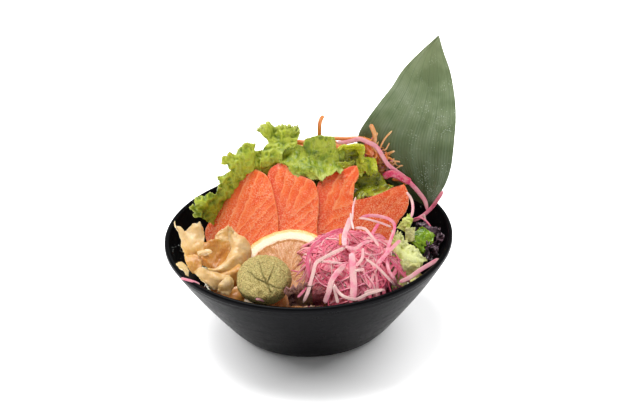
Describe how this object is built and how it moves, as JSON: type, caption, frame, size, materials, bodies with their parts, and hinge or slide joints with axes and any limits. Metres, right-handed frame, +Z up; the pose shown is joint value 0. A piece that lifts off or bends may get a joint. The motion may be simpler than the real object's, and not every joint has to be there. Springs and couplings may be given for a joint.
{
  "type": "bowl of salmon sashimi",
  "caption": "Black round bowl of salmon sashimi fanned over shredded vegetables, with frilly lettuce, a bamboo leaf, lemon, wasabi, pickled ginger and pink radish shreds.",
  "frame": {"origin": "centre of the bowl's flat underside", "axes": "+Z up, -Y towards the front that the salmon slices and the lemon face, +X towards the side where the bamboo leaf stands"},
  "size_m": [0.197, 0.1896, 0.1737],
  "materials": {
    "black_melamine": "satin black melamine with a smooth thin lip",
    "shredded_vegetables": "pale shredded vegetables, wet",
    "salmon": "raw salmon, moist, with pale curved stripes",
    "lemon": "juicy flesh, cream pith and orange-yellow rind",
    "wasabi": "pale khaki green paste, grainy, with pressed leaf lines",
    "pickled_ginger": "thin translucent slice, cream to amber",
    "pink_radish": "translucent pink shreds, wet",
    "radish_strand": "translucent pink shred, wet",
    "carrot": "orange carrot shreds, moist",
    "carrot_strand": "orange carrot shred, moist",
    "bamboo_leaf": "dark green leaf with fine veins and droplets",
    "lettuce": "yellow-green frilled leaf, lighter at ribs and edge",
    "pale_lettuce": "pale yellow-green, crinkled",
    "green_garnish": "deep green, wet",
    "purple_lettuce": "dark purple, wet and frilled",
    "purple_frill": "purple-brown, wet and frilled"
  },
  "bodies": {
    "root": {"bowl": "black_melamine", "vegetable_bed": "shredded_vegetables", "salmon_slice_1": "salmon", "salmon_slice_2": "salmon", "salmon_slice_3": "salmon", "salmon_slice_4": "salmon", "lemon_slice": "lemon", "wasabi": "wasabi", "ginger_upright": "pickled_ginger", "ginger_cup": "pickled_ginger", "ginger_small": "pickled_ginger", "radish_shreds": "pink_radish", "radish_strand_long": "radish_strand", "radish_strand_rim": "radish_strand", "carrot_shreds": "carrot", "carrot_strand_upright": "carrot_strand", "bamboo_leaf": "bamboo_leaf", "lettuce_left": "lettuce", "lettuce_middle": "lettuce", "lettuce_right": "lettuce", "lettuce_curl": "lettuce", "pale_lettuce": "pale_lettuce", "green_garnish": "green_garnish", "purple_lettuce": "purple_lettuce", "purple_frill": "purple_frill"}
  },
  "joints": []
}
